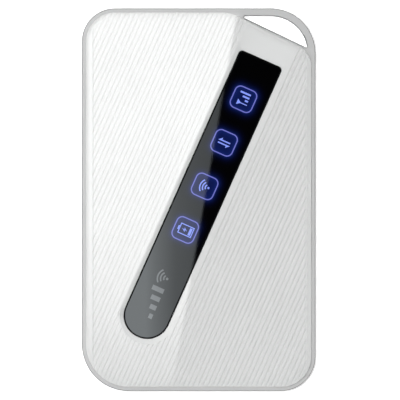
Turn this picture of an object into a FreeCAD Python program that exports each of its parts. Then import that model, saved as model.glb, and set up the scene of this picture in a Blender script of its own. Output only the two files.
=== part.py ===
"""Pocket mobile hotspot: a ribbed front cover with a slanted window, a middle frame with a lanyard loop,
a lift-off back cover, and the board, battery, SIM card, switches and antennas inside.

The device lies on its back. +Z is the front's normal, +Y runs towards the loop end, +X to the right of
someone who looks at the front. The origin is the middle of the back, on the surface it lies on.
"""

import FreeCAD, Part
import math
import os
import re

import Sketcher

Vector = FreeCAD.Vector
Rotation = FreeCAD.Rotation

# Driving dimensions in millimetres, and degrees where the name says angle or lean.
SIZES = {
    # the whole device
    "width": 62.3,
    "height": 102.0,
    "depth": 14.0,
    "cornerTopLeft": 8.8,
    "cornerTopRight": 12.0,
    "cornerBottomLeft": 12.5,
    "cornerBottomRight": 9.2,
    # the middle frame and its loop
    "frameBottom": 3.6,
    "frameTop": 9.6,
    "frameFloorTop": 7.2,
    "rimRound": 0.35,
    "loopBar": 2.05,
    "loopTip": 0.3,
    "slantAngle": 25.6,
    "loopSlant": 48.94,
    "chassisBottom": 1.5,
    "lipTop": 10.4,
    "lipThickness": 0.85,
    # the two covers
    "coverInset": 1.15,
    "coverWall": 1.3,
    "coverSlant": 48.55,
    "coverRound": 1.8,
    "coverCeiling": 12.5,
    "coverTopBlend": 10.0,
    "coverSideBlend": 5.0,
    "fitGap": 0.2,
    "backFloor": 1.1,
    "backTop": 3.5,
    "backRound": 2.2,
    # the ribs of the front cover
    "ribPitch": 1.185,
    "ribPhase": 0.434,
    "ribDepth": 0.28,
    "ribSkim": 0.02,
    "ribFieldLeft": -28.1,
    "ribFieldRight": 28.6,
    # the slanted channel and its window
    "lean": 24.02,
    "channelLeft": -7.2,
    "channelRight": 7.6,
    "channelLow": -41.2,
    "channelDepth": 0.6,
    "windowHalf": 6.22,
    "windowTop": 41.1,
    "windowLow": -39.95,
    "windowCorner": 1.15,
    "windowThickness": 0.8,
    "windowSink": 0.65,
    "seatGap": 0.08,
    "adhesive": 0.15,
    "endEase": 0.15,
    "slotHalf": 5.2,
    "slotLow": -36.0,
    "slotHigh": 38.5,
    "slotCorner": 1.5,
    "trayHalf": 8.2,
    "trayLow": -42.0,
    "trayHigh": 43.5,
    "trayCorner": 2.0,
    "trayBottom": 11.4,
    # the status icons
    "iconFirst": 29.4,
    "iconPitch": 12.72,
    "wellHalf": 2.6,
    "wellDeep": 4.0,
    "guideHalf": 4.4,
    "filmHalf": 4.9,
    "filmThickness": 0.15,
    "iconMargin": 5.0,
    "lampHeight": 0.6,
    # the board
    "boardBottom": 8.4,
    "boardThickness": 0.8,
    "boardGap": 0.4,
    "shieldHeight": 2.0,
    "shieldSheet": 0.2,
    "postRadius": 1.4,
    "pilotDeep": 2.4,
    "inductorHeight": 1.5,
    "capacitorHeight": 0.6,
    "capacitorPitch": 2.2,
    # the battery and its bay
    "batteryWidth": 48.0,
    "batteryLow": -42.0,
    "batteryHigh": 14.0,
    "batteryBottom": 1.4,
    "batteryThickness": 4.8,
    "cellCorner": 2.2,
    "wrapSide": 0.12,
    "wrapFace": 0.1,
    "contactPitch": 2.4,
    "contactWide": 1.2,
    "bayGap": 0.35,
    "bayTop": 6.5,
    # the SIM card
    "simLength": 25.0,
    "simWidth": 15.0,
    "simThickness": 0.76,
    "simLeft": -21.5,
    "simMiddle": 28.2,
    "simBottom": 7.35,
    "simCorner": 0.8,
    "simGap": 0.2,
    "simSocketLong": 16.0,
    # the two edge buttons
    "buttonWide": 9.8,
    "buttonTall": 2.6,
    "buttonMiddle": 6.7,
    "buttonGap": 0.12,
    "buttonSink": 0.05,
    "capBack": 48.7,
    "flangeBack": 48.1,
    "flangeFront": 48.95,
    "flangeTall": 3.6,
    "switchHalf": 3.2,
    "switchBack": 43.4,
    "switchFront": 46.6,
    "stemBack": 45.6,
    "stemHalf": 1.3,
    "stemTall": 1.5,
    "stemGap": 0.2,
    "stemTravel": 0.7,
    "powerAt": -15.0,
    "wpsAt": -1.5,
    # the screws
    "bossRadius": 1.9,
    "screwHead": 1.5,
    "screwShank": 0.7,
    "boardHead": 1.25,
    "boardShank": 0.55,
    "headRise": 2.0,
    "headThickness": 0.95,
    # the USB inlet
    "usbWide": 7.6,
    "usbTall": 2.7,
    "usbMiddle": 7.0,
    "usbSink": 0.5,
    "usbDeep": 5.7,
    "usbSheet": 0.3,
    "usbPitch": 0.65,
    "resetAt": 10.0,
    "pinholeRadius": 0.65,
    "resetStem": 0.6,
}

doc = FreeCAD.newDocument("Hotspot")
sheet = doc.addObject("Spreadsheet::Sheet", "Sheet")
for row, (alias, number) in enumerate(SIZES.items(), start=1):
    sheet.set(f"A{row}", alias)
    sheet.set(f"B{row}", str(number))
    sheet.setAlias(f"B{row}", alias)
doc.recompute()

KEPT_WORDS = ("sin", "cos", "tan", "deg")
nodes = []


def formula(text):
    """A size written with the sheet's names, as the expression engine reads it."""
    return re.sub(r"[A-Za-z_]\w*", lambda m: m[0] if m[0] in KEPT_WORDS else "Sheet." + m[0], str(text))


def value(text):
    """The same size as a number."""
    found = sheet.evalExpression(formula(text))
    return float(getattr(found, "Value", found))


def bind(thing, **sizes):
    """Binds properties to sizes; a double underscore in a name stands for a dot."""
    for name, text in sizes.items():
        thing.setExpression(name.replace("__", "."), formula(text))


def node(thing, label):
    """Names a finished sub-part, which is then written to its own file."""
    thing.Label = label
    nodes.append(thing)
    return thing


# ---------------------------------------------------------------- sketches and features


def body_named(name):
    return doc.addObject("PartDesign::Body", name)


def sketch_on(body, name, level, leaning=False):
    """A sketch parallel to the body's XY plane at a height, turned onto the window's axis if leaning."""
    plane = next(f for f in body.Origin.OriginFeatures if f.Role == "XY_Plane")
    sketch = body.newObject("Sketcher::SketchObject", name)
    sketch.AttachmentSupport = (plane, [""])
    sketch.MapMode = "FlatFace"
    turn = Rotation(Vector(0, 0, 1), -value("lean") if leaning else 0)
    sketch.AttachmentOffset = FreeCAD.Placement(Vector(0, 0, value(level)), turn)
    bind(sketch, AttachmentOffset__Base__z=level)
    return sketch


def hold(sketch, size, kind, *places):
    """Adds a dimension to a sketch and binds it to a size."""
    at = sketch.addConstraint(Sketcher.Constraint(kind, *places))
    sketch.setExpression(f"Constraints[{at}]", formula(size))


def draw_outline(sketch, sides, corners):
    """Draws a convex outline anticlockwise. Each side is ("x", size), ("y", size) or
    ("slant", angle, distance), and each corner is the radius after that side, or 0."""
    lines = []
    for side in sides:
        if side[0] == "slant":
            angle = math.radians(90 - value(side[1]))
            lines.append((math.cos(angle), math.sin(angle), value(side[2])))
        else:
            lines.append((side[0] == "x", side[0] == "y", value(side[1])))
    count = len(lines)
    points = []
    for i in range(count):
        a1, b1, c1 = lines[i]
        a2, b2, c2 = lines[(i + 1) % count]
        det = a1 * b2 - a2 * b1
        points.append(Vector((c1 * b2 - c2 * b1) / det, (a1 * c2 - a2 * c1) / det, 0))
    ways = [(points[i] - points[i - 1]).normalize() for i in range(count)]
    starts, ends, arcs = [None] * count, [None] * count, [None] * count
    for i in range(count):
        after = (i + 1) % count
        radius = value(corners[i])
        half = ways[i].getAngle(ways[after]) / 2
        back = radius * math.tan(half)
        ends[i] = points[i] - ways[i] * back
        starts[after] = points[i] + ways[after] * back
        if radius:
            normal = Vector(-ways[i].y, ways[i].x, 0)
            centre = ends[i] + normal * radius
            first = math.atan2(ends[i].y - centre.y, ends[i].x - centre.x)
            circle = Part.Circle(centre, Vector(0, 0, 1), radius)
            arcs[i] = Part.ArcOfCircle(circle, first, first + 2 * half)
    line_at = [sketch.addGeometry(Part.LineSegment(starts[i], ends[i]), False) for i in range(count)]
    for i in range(count):
        after = line_at[(i + 1) % count]
        if arcs[i] is None:
            sketch.addConstraint(Sketcher.Constraint("Coincident", line_at[i], 2, after, 1))
            continue
        arc = sketch.addGeometry(arcs[i], False)
        sketch.addConstraint(Sketcher.Constraint("Tangent", line_at[i], 2, arc, 1))
        sketch.addConstraint(Sketcher.Constraint("Tangent", arc, 2, after, 1))
        hold(sketch, corners[i], "Radius", arc, value(corners[i]))
    for i, side in enumerate(sides):
        if side[0] == "slant":
            angle = math.radians(180 - value(side[1]))
            hold(sketch, f"180 - ({side[1]})", "Angle", line_at[i], angle)
            hold(sketch, side[2], "Distance", -1, 1, line_at[i], value(side[2]))
        else:
            along, across = ("Vertical", "DistanceX") if side[0] == "x" else ("Horizontal", "DistanceY")
            sketch.addConstraint(Sketcher.Constraint(along, line_at[i]))
            hold(sketch, side[1], across, -1, 1, line_at[i], 1, value(side[1]))


def draw_rectangle(sketch, x, y, corner=0):
    """A rectangle between two sizes along each axis, with one radius at all corners."""
    draw_outline(sketch, [("y", y[0]), ("x", x[1]), ("y", y[1]), ("x", x[0])], [corner] * 4)


def draw_circle(sketch, x, y, radius):
    centre = Vector(value(x), value(y), 0)
    at = sketch.addGeometry(Part.Circle(centre, Vector(0, 0, 1), value(radius)), False)
    hold(sketch, radius, "Radius", at, value(radius))
    hold(sketch, x, "DistanceX", -1, 1, at, 3, value(x))
    hold(sketch, y, "DistanceY", -1, 1, at, 3, value(y))


def pad(body, sketch, length):
    """Adds material above a sketch."""
    feature = body.newObject("PartDesign::Pad", sketch.Name + "Pad")
    feature.Profile = sketch
    bind(feature, Length=length)
    body.Tip = feature
    return feature


def pocket(body, sketch, length, up=False):
    """Takes material away below a sketch, or above it if up."""
    feature = body.newObject("PartDesign::Pocket", sketch.Name + "Pocket")
    feature.Profile = sketch
    feature.Reversed = up
    bind(feature, Length=length)
    body.Tip = feature
    return feature


def round_edges(body, name, radius, wanted):
    """Rounds the edges of the body so far that wanted picks."""
    doc.recompute()
    base = body.Tip
    names = [f"Edge{i}" for i, edge in enumerate(base.Shape.Edges, start=1) if wanted(edge)]
    feature = body.newObject("PartDesign::Fillet", name)
    feature.Base = (base, names)
    bind(feature, Radius=radius)
    body.Tip = feature
    return feature


def lies_at(edge, level):
    """Whether an edge lies in the plane at a height."""
    box = edge.BoundBox
    return abs(box.ZMin - level) < 1e-4 and abs(box.ZMax - level) < 1e-4


def plate(name, draw, low, high, leaning=False):
    """A body that is one outline padded from a low to a high level."""
    body = body_named(name)
    sketch = sketch_on(body, name + "Outline", low, leaning)
    draw(sketch)
    pad(body, sketch, f"({high}) - ({low})")
    return body


# ---------------------------------------------------------------- plain solids


def block(name, x, y, z):
    """A box between two sizes along each axis."""
    solid = doc.addObject("Part::Box", name)
    for side, axis, (low, high) in (("Length", "x", x), ("Width", "y", y), ("Height", "z", z)):
        solid.setExpression(side, formula(f"({high}) - ({low})"))
        solid.setExpression("Placement.Base." + axis, formula(low))
    return solid


def rod(name, x, y, radius, low, high):
    """An upright cylinder."""
    solid = doc.addObject("Part::Cylinder", name)
    bind(solid, Radius=radius, Height=f"({high}) - ({low})")
    bind(solid, Placement__Base__x=x, Placement__Base__y=y, Placement__Base__z=low)
    return solid


def rod_along_y(name, x, z, radius, low, high):
    """A cylinder along Y."""
    solid = doc.addObject("Part::Cylinder", name)
    solid.Placement = FreeCAD.Placement(Vector(0, 0, 0), Rotation(Vector(1, 0, 0), -90))
    bind(solid, Radius=radius, Height=f"({high}) - ({low})")
    bind(solid, Placement__Base__x=x, Placement__Base__y=low, Placement__Base__z=z)
    return solid


def pill(name, x, z, wide, tall, low, high):
    """A body with round ends, wide along X and tall along Z, that runs along Y from low to high."""
    body = body_named(name)
    sketch = sketch_on(body, name + "Outline", 0)
    across = (f"0 - ({wide}) / 2", f"({wide}) / 2")
    upright = (f"0 - ({tall}) / 2", f"({tall}) / 2")
    draw_rectangle(sketch, across, upright, f"({tall}) * 0.45")
    pad(body, sketch, f"({high}) - ({low})")
    body.Placement = FreeCAD.Placement(Vector(0, 0, 0), Rotation(Vector(1, 0, 0), 90))
    bind(body, Placement__Base__x=x, Placement__Base__y=high, Placement__Base__z=z)
    return body


def cut(name, base, tools):
    """One solid less several others."""
    tool = tools[0]
    if len(tools) > 1:
        tool = doc.addObject("Part::MultiFuse", name + "Tools")
        tool.Shapes = tools
    result = doc.addObject("Part::Cut", name)
    result.Base = base
    result.Tool = tool
    return result


def joined(name, solids):
    """Several solids made one."""
    result = doc.addObject("Part::MultiFuse", name)
    result.Shapes = solids
    return result


def group(name, solids):
    """Separate solids kept together in one node."""
    result = doc.addObject("Part::Compound", name)
    result.Links = solids
    return result


# ---------------------------------------------------------------- shared outlines


def device_outline(sketch, inset):
    """The rounded rectangle of the whole device, with a different radius at each corner."""
    half, tall = f"width / 2 - ({inset})", f"height / 2 - ({inset})"
    sides = [("y", f"0 - ({tall})"), ("x", half), ("y", tall), ("x", f"0 - ({half})")]
    corners = ("cornerBottomRight", "cornerTopRight", "cornerTopLeft", "cornerBottomLeft")
    draw_outline(sketch, sides, [f"{corner} - ({inset})" for corner in corners])


def cover_outline(sketch, inset):
    """The covers' outline, which leaves the loop's corner free along a slanted edge."""
    far = f"coverInset + ({inset})"
    half, tall = f"width / 2 - ({far})", f"height / 2 - ({far})"
    slant = ("slant", "slantAngle", f"coverSlant - ({inset})")
    sides = [("y", f"0 - ({tall})"), ("x", half), slant, ("y", tall), ("x", f"0 - ({half})")]
    corners = [
        f"cornerBottomRight - ({far})",
        f"coverSideBlend - ({inset}) * 0.5",
        f"coverTopBlend - ({inset})",
        f"cornerTopLeft - ({far})",
        f"cornerBottomLeft - ({far})",
    ]
    draw_outline(sketch, sides, corners)


def leaning_outline(sketch, left, right, low, high, end, corner):
    """A long outline on the window's axis: nearly half round at its low end, small corners above."""
    sides = [("y", low), ("x", right), ("y", high), ("x", left)]
    draw_outline(sketch, sides, [end, corner, corner, end])


def window_outline(sketch, grow):
    """The window's outline, larger all round by grow."""
    half = f"windowHalf + ({grow})"
    leaning_outline(
        sketch,
        f"0 - ({half})",
        half,
        f"windowLow - ({grow})",
        f"windowTop + ({grow})",
        f"{half} - endEase",
        f"windowCorner + ({grow})",
    )


def along_axis(distance):
    """X and Y of a place on the window's axis."""
    return f"({distance}) * sin(lean * 1deg)", f"({distance}) * cos(lean * 1deg)"


# Where the four housing screws and the four board screws go.
BOSSES = [("0 - 25.3", "45.2"), ("26.0", "31.0"), ("0 - 20.5", "0 - 46.0"), ("20.5", "0 - 46.2")]
BOARD_POSTS = [("0 - 26.1", "12"), ("26.1", "2"), ("0 - 26.1", "0 - 30"), ("26.1", "0 - 30")]
ICONS = [f"iconFirst - {i} * iconPitch" for i in range(4)]
CAVITY = "coverWall + fitGap"
RECESS = "coverWall + fitGap + lipThickness"
BOARD_TOP = "boardBottom + boardThickness"

# Openings right through the chassis, then wells from the frame's floor with their lowest levels.
FRAME_OPENINGS = {
    "Sim": (("0 - 23.2", "22.6"), ("19.4", "37.6")),
    "Connector": (("0 - 5.6", "5.6"), ("14", "19")),
}
FRAME_WELLS = {
    "Power": (("powerAt - 7", "powerAt + 7"), ("42.2", "47.45"), "4.3"),
    "Wps": (("wpsAt - 6.4", "wpsAt + 6.4"), ("42.2", "47.45"), "4.3"),
    "Usb": (("0 - 4.8", "4.8"), ("0 - 47.45", "0 - 43.2"), "5.2"),
    "Reset": (("resetAt - 2.6", "resetAt + 2.6"), ("0 - 47.45", "0 - 43.6"), "5.2"),
}
FRAME_SAVINGS = {"Left": ("0 - 27.2", "0 - 25.2"), "Right": ("25.2", "27.2")}

# The cans and packages on the front of the board: X and Y ranges, and a package's height.
CANS = {
    "modem_shield": (("0 - 24", "0 - 10"), ("0 - 9", "31")),
    "rf_shield": (("7", "24"), ("0 - 30", "0 - 2")),
    "wifi_shield": (("0 - 24", "0 - 12"), ("0 - 32", "0 - 14")),
}
PACKAGES = {
    "modem_chip": (("0 - 23", "0 - 11"), ("0", "12"), "1.1"),
    "memory_chip": (("0 - 21.5", "0 - 12.5"), ("15", "26"), "0.9"),
    "rf_chip": (("12", "19"), ("0 - 14", "0 - 7"), "0.9"),
    "wifi_chip": (("0 - 21.5", "0 - 14.5"), ("0 - 27", "0 - 20"), "0.9"),
    "power_manager": (("0 - 7", "0 - 1"), ("0 - 30", "0 - 24"), "0.9"),
}

# The three antennas: X and Y ranges, and how many slots turn the strip back and forth.
ANTENNAS = {
    "main_antenna": (("4", "17"), ("0 - 46", "0 - 35"), 4),
    "diversity_antenna": (("0 - 20", "0 - 7"), ("36", "46"), 4),
    "wifi_antenna": (("22.6", "27.4"), ("6", "25"), 6),
}
ANTENNA_FEEDS = [
    ("5", "0 - 45.6"),
    ("8", "0 - 45.6"),
    ("0 - 19.5", "36.1"),
    ("0 - 16.5", "36.1"),
    ("23", "6.2"),
]


# ---------------------------------------------------------------- front cover


def rib_cutter():
    """What the ribs leave: a slab over the whole field whose underside follows the round ribs."""
    pitch, phase = value("ribPitch"), value("ribPhase")
    crest = value("depth - ribSkim")
    valley = crest - value("ribDepth")
    reach = 0.6 * value("width") + 0.25 * value("height")
    first, last = math.floor(-reach / pitch), math.ceil(reach / pitch)
    edges = []
    for k in range(first, last + 1):
        middle = phase + k * pitch
        left, top, right = (
            Vector(middle - pitch / 2, 0, valley),
            Vector(middle, 0, crest),
            Vector(middle + pitch / 2, 0, valley),
        )
        edges.append(Part.Arc(left, top, right).toShape())
    start = Vector(phase + (first - 0.5) * pitch, 0, valley)
    end = Vector(phase + (last + 0.5) * pitch, 0, valley)
    rise = Vector(0, 0, 2)
    corners = [end, end + rise, start + rise, start]
    edges += [Part.makeLine(a, b) for a, b in zip(corners, corners[1:])]
    length = 2 * reach + value("height") / 2
    slab = Part.Face(Part.Wire(edges)).extrude(Vector(0, length, 0))
    slab.translate(Vector(0, -length / 2, 0))
    slab.rotate(Vector(0, 0, 0), Vector(0, 0, 1), -value("lean"))

    left, right = value("ribFieldLeft"), value("ribFieldRight")
    tall = value("height")
    field = Part.makeBox(right - left, tall, 6, Vector(left, -tall / 2, valley - 2))
    band_left, band_right = value("channelLeft"), value("channelRight")
    radius = (band_right - band_left) / 2
    low = value("channelLow") + radius
    band = Part.makeBox(band_right - band_left, tall, 6, Vector(band_left, low, valley - 2))
    end_round = Part.makeCylinder(radius, 6, Vector((band_left + band_right) / 2, low, valley - 2))
    band = band.fuse(end_round)
    band.rotate(Vector(0, 0, 0), Vector(0, 0, 1), -value("lean"))
    cutter = doc.addObject("Part::Feature", "RibCutter")
    cutter.Shape = slab.common(field.cut(band))
    return cutter


def front_cover():
    body = body_named("FrontShell")
    outer = sketch_on(body, "FrontOuter", "frameTop")
    cover_outline(outer, 0)
    pad(body, outer, "depth - frameTop")
    round_edges(body, "FrontRound", "coverRound", lambda edge: lies_at(edge, value("depth")))

    inner = sketch_on(body, "FrontInner", "frameTop")
    cover_outline(inner, "coverWall")
    pocket(body, inner, "coverCeiling - frameTop", up=True)

    tray = sketch_on(body, "FrontTray", "trayBottom", leaning=True)
    leaning_outline(
        tray, "0 - trayHalf", "trayHalf", "trayLow", "trayHigh", "trayHalf - endEase", "trayCorner"
    )
    pad(body, tray, "coverCeiling + 0.1 - trayBottom")

    for i, (x, y) in enumerate(BOSSES):
        boss = sketch_on(body, f"FrontBoss{i}", "frameFloorTop + 0.05")
        draw_circle(boss, x, y, "bossRadius")
        pad(body, boss, "coverCeiling + 0.1 - frameFloorTop - 0.05")

    channel = sketch_on(body, "FrontChannel", "depth", leaning=True)
    sides = ("channelLeft", "channelRight", "channelLow", "height / 2 + 12")
    leaning_outline(channel, *sides, "(channelRight - channelLeft) / 2 - endEase", "1")
    pocket(body, channel, "channelDepth")

    seat = sketch_on(body, "FrontSeat", "depth", leaning=True)
    window_outline(seat, "seatGap")
    pocket(body, seat, "windowSink + windowThickness + adhesive")

    slot = sketch_on(body, "FrontSlot", "depth", leaning=True)
    leaning_outline(
        slot, "0 - slotHalf", "slotHalf", "slotLow", "slotHigh", "slotHalf - endEase", "slotCorner"
    )
    pocket(body, slot, "depth - trayBottom")

    for i, (x, y) in enumerate(BOSSES):
        pilot = sketch_on(body, f"FrontPilot{i}", "frameFloorTop + 0.05")
        draw_circle(pilot, x, y, "screwShank + 0.05")
        pocket(body, pilot, "4.4", up=True)
    return node(cut("FrontCover", body, [rib_cutter()]), "front_cover")


# ---------------------------------------------------------------- window and light


def display():
    top = "depth - windowSink"
    bottom = "depth - windowSink - windowThickness"
    window = plate("Window", lambda s: window_outline(s, 0), bottom, top, leaning=True)
    round_edges(window, "WindowRound", 0.12, lambda edge: lies_at(edge, value(top)))
    node(window, "display_window")

    ring = plate("Adhesive", lambda s: window_outline(s, "0 - 0.1"), f"{bottom} - adhesive", bottom, True)
    hole = sketch_on(ring, "AdhesiveHole", bottom, leaning=True)
    window_outline(hole, "slotHalf - windowHalf")
    pocket(ring, hole, "adhesive")
    node(ring, "window_adhesive")

    low, high = f"{ICONS[-1]} - iconMargin", f"{ICONS[0]} + iconMargin"

    def film_outline(sketch):
        leaning_outline(sketch, "0 - filmHalf", "filmHalf", low, high, "1", "1")

    film_top = f"{bottom} - 0.02"
    film = plate("IconFilm", film_outline, f"{film_top} - filmThickness", film_top, leaning=True)
    node(film, "icon_film")

    def guide_outline(sketch):
        leaning_outline(sketch, "0 - guideHalf", "guideHalf", low, high, "0.8", "0.8")

    guide_low, guide_high = f"{BOARD_TOP} + lampHeight + 0.2", f"{film_top} - filmThickness - 0.05"
    guide = plate("LightGuide", guide_outline, guide_low, guide_high, leaning=True)
    for i, icon in enumerate(ICONS):
        well = sketch_on(guide, f"LightWell{i}", guide_high, leaning=True)
        draw_rectangle(well, ("0 - wellHalf", "wellHalf"), (f"{icon} - wellHalf", f"{icon} + wellHalf"), 0.5)
        pocket(guide, well, "wellDeep")
    node(guide, "light_guide")

    lamps = []
    for i, icon in enumerate(ICONS):
        x, y = along_axis(icon)
        across, along = (f"{x} - 0.8", f"{x} + 0.8"), (f"{y} - 0.4", f"{y} + 0.4")
        upright = (BOARD_TOP, f"{BOARD_TOP} + lampHeight")
        lamps.append(block(f"Lamp{i}", across, along, upright))
    node(group("StatusLeds", lamps), "status_leds")


# ---------------------------------------------------------------- middle frame


def loop_hole(sketch):
    """The loop's opening: straight along the top, round the corner, and back along the slanted edge."""
    radius = value("cornerTopRight - loopBar")
    centre = Vector(value("width / 2 - cornerTopRight"), value("height / 2 - cornerTopRight"), 0)
    angle = math.radians(90 - value("slantAngle"))
    normal = Vector(math.cos(angle), math.sin(angle), 0)
    along = Vector(math.sin(angle), -math.cos(angle), 0)
    foot = normal * value("loopSlant")
    off = centre - foot
    near = off.dot(along)
    rest = math.sqrt(radius**2 - (off - along * near).Length ** 2)
    right = foot + along * (near + rest)
    top = centre + Vector(0, radius, 0)
    left = Vector((foot.dot(normal) - top.y * normal.y) / normal.x, top.y, 0)
    first = math.atan2(right.y - centre.y, right.x - centre.x)
    ceiling = sketch.addGeometry(Part.LineSegment(left, top), False)
    slanted = sketch.addGeometry(Part.LineSegment(right, left), False)
    circle = Part.Circle(centre, Vector(0, 0, 1), radius)
    bend = sketch.addGeometry(Part.ArcOfCircle(circle, first, math.pi / 2), False)
    sketch.addConstraint(Sketcher.Constraint("Horizontal", ceiling))
    sketch.addConstraint(Sketcher.Constraint("Tangent", ceiling, 2, bend, 2))
    sketch.addConstraint(Sketcher.Constraint("Coincident", bend, 1, slanted, 1))
    sketch.addConstraint(Sketcher.Constraint("Coincident", slanted, 2, ceiling, 1))
    hold(sketch, "cornerTopRight - loopBar", "Radius", bend, radius)
    hold(sketch, "width / 2 - cornerTopRight", "DistanceX", -1, 1, bend, 3, centre.x)
    hold(sketch, "height / 2 - cornerTopRight", "DistanceY", -1, 1, bend, 3, centre.y)
    hold(sketch, "180 - slantAngle", "Angle", slanted, math.radians(180 - value("slantAngle")))
    hold(sketch, "loopSlant", "Distance", -1, 1, slanted, value("loopSlant"))


def middle_frame():
    body = body_named("FrameBody")
    outer = sketch_on(body, "FrameOuter", "frameBottom")
    device_outline(outer, 0)
    pad(body, outer, "frameTop - frameBottom")
    hole = sketch_on(body, "FrameLoop", "frameTop")
    loop_hole(hole)
    pocket(body, hole, "frameTop - frameBottom")
    tips = [value("width / 2 - cornerTopRight"), value("frameTop - frameBottom")]

    def is_tip(edge):
        box = edge.BoundBox
        upright = abs(box.ZLength - tips[1]) < 1e-4 and box.XLength + box.YLength < 1e-4
        inside = box.YMin > value("height / 2 - cornerTopRight") and box.YMin < value("height / 2 - 1")
        smooth = abs(box.XMin - tips[0]) < 1e-3
        return upright and inside and not smooth and box.XMin < value("width / 2 - 1")

    round_edges(body, "LoopTips", "loopTip", is_tip)
    levels = (value("frameBottom"), value("frameTop"))
    round_edges(body, "FrameRim", "rimRound", lambda e: any(lies_at(e, level) for level in levels))

    chassis = sketch_on(body, "FrameChassis", "chassisBottom")
    cover_outline(chassis, f"{CAVITY} + 0.2")
    pad(body, chassis, "frameBottom + 0.5 - chassisBottom")
    lip = sketch_on(body, "FrameLip", "frameTop - 0.5")
    cover_outline(lip, CAVITY)
    pad(body, lip, "lipTop - frameTop + 0.5")
    recess = sketch_on(body, "FrameRecess", "lipTop")
    cover_outline(recess, RECESS)
    pocket(body, recess, "lipTop - frameFloorTop")

    bay = sketch_on(body, "FrameBay", "chassisBottom")
    half = "batteryWidth / 2 + bayGap"
    draw_rectangle(bay, (f"0 - ({half})", half), ("batteryLow - bayGap", "batteryHigh + bayGap"), 1)
    pocket(body, bay, "bayTop - chassisBottom", up=True)

    for name, (across, along) in FRAME_OPENINGS.items():
        opening = sketch_on(body, "Frame" + name, "chassisBottom")
        draw_rectangle(opening, across, along, 0.3)
        pocket(body, opening, "frameFloorTop + 0.2 - chassisBottom", up=True)
    for name, (across, along, bottom) in FRAME_WELLS.items():
        well = sketch_on(body, f"FrameWell{name}", "frameFloorTop + 0.2")
        draw_rectangle(well, across, along, 0.3)
        pocket(body, well, f"frameFloorTop + 0.2 - {bottom}")
    for name, across in FRAME_SAVINGS.items():
        saving = sketch_on(body, "FrameSaving" + name, "chassisBottom")
        draw_rectangle(saving, across, ("0 - 36", "10"), 0.8)
        pocket(body, saving, "4.2", up=True)

    for i, (x, y) in enumerate(BOSSES):
        room = sketch_on(body, f"FrameBossRoom{i}", "lipTop")
        draw_circle(room, x, y, "bossRadius + fitGap")
        pocket(body, room, "lipTop - frameFloorTop")

    for i, (x, y) in enumerate(BOARD_POSTS):
        post = sketch_on(body, f"FramePost{i}", "frameFloorTop - 0.2")
        draw_circle(post, x, y, "postRadius")
        pad(body, post, "boardBottom - frameFloorTop + 0.2")
        pilot = sketch_on(body, f"FramePilot{i}", "boardBottom")
        draw_circle(pilot, x, y, "boardShank + 0.05")
        pocket(body, pilot, "pilotDeep")
    for i, (x, y) in enumerate(BOSSES):
        through = sketch_on(body, f"FrameScrew{i}", "chassisBottom")
        draw_circle(through, x, y, "screwShank + 0.15")
        pocket(body, through, "6.5", up=True)
        head = sketch_on(body, f"FrameHead{i}", "chassisBottom")
        draw_circle(head, x, y, "screwHead + 0.2")
        pocket(body, head, "headRise + headThickness + 0.05", up=True)

    tools = []
    edge, wall = "height / 2", "height / 2 - 1.6"
    for name, at in (("Power", "powerAt"), ("Wps", "wpsAt")):
        size = ("buttonWide + 2 * buttonGap", "buttonTall + 2 * buttonGap")
        tools.append(pill(name + "Opening", at, "buttonMiddle", *size, f"{wall} - 0.1", f"{edge} + 1"))
        room = ("buttonWide + 1.7", "flangeTall + 0.4")
        tools.append(pill(name + "Pocket", at, "buttonMiddle", *room, "46.9", wall))
    usb = ("usbWide + 0.5", "usbTall + 0.5")
    tools.append(pill("UsbOpening", 0, "usbMiddle", *usb, f"0 - {edge} - 1", "0 - 47"))
    tools.append(rod_along_y("Pinhole", "resetAt", "usbMiddle", "pinholeRadius", f"0 - {edge} - 1", "0 - 47"))
    return node(cut("MiddleFrame", body, tools), "middle_frame")


# ---------------------------------------------------------------- back cover


def back_cover():
    body = plate("BackShell", lambda s: cover_outline(s, 0), 0, "backTop")
    round_edges(body, "BackRound", "backRound", lambda edge: lies_at(edge, 0))
    inner = sketch_on(body, "BackInner", "backTop")
    cover_outline(inner, "coverWall")
    pocket(body, inner, "backTop - backFloor")
    notch = block("ThumbNotch", ("0 - 5", "5"), ("0 - height / 2", "0 - height / 2 + 1.9"), ("2.8", "4"))
    node(cut("BackCover", body, [notch]), "back_cover")


# ---------------------------------------------------------------- board and electronics


def main_board():
    body = plate("Board", lambda s: cover_outline(s, f"{RECESS} + boardGap"), "boardBottom", BOARD_TOP)
    for i, (x, y) in enumerate(BOSSES):
        notch = sketch_on(body, f"BoardNotch{i}", BOARD_TOP)
        draw_circle(notch, x, y, "bossRadius + 0.3")
        pocket(body, notch, "boardThickness")
    for i, (x, y) in enumerate(BOARD_POSTS):
        hole = sketch_on(body, f"BoardHole{i}", BOARD_TOP)
        draw_circle(hole, x, y, "boardShank + 0.15")
        pocket(body, hole, "boardThickness")
    node(body, "main_board")


def can(label, x, y):
    """A sheet metal can, open towards the board."""
    name = label.title().replace("_", "")
    top = f"{BOARD_TOP} + shieldHeight"
    outer = block(name + "Outer", x, y, (BOARD_TOP, top))
    inner = block(
        name + "Inner",
        (f"{x[0]} + shieldSheet", f"{x[1]} - shieldSheet"),
        (f"{y[0]} + shieldSheet", f"{y[1]} - shieldSheet"),
        (f"{BOARD_TOP} - 0.1", f"{top} - shieldSheet"),
    )
    return node(cut(name, outer, [inner]), label)


def package(name, x, y, tall):
    """A flat package that stands on the front of the board."""
    return block(name, x, y, (BOARD_TOP, f"{BOARD_TOP} + {tall}"))


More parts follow.
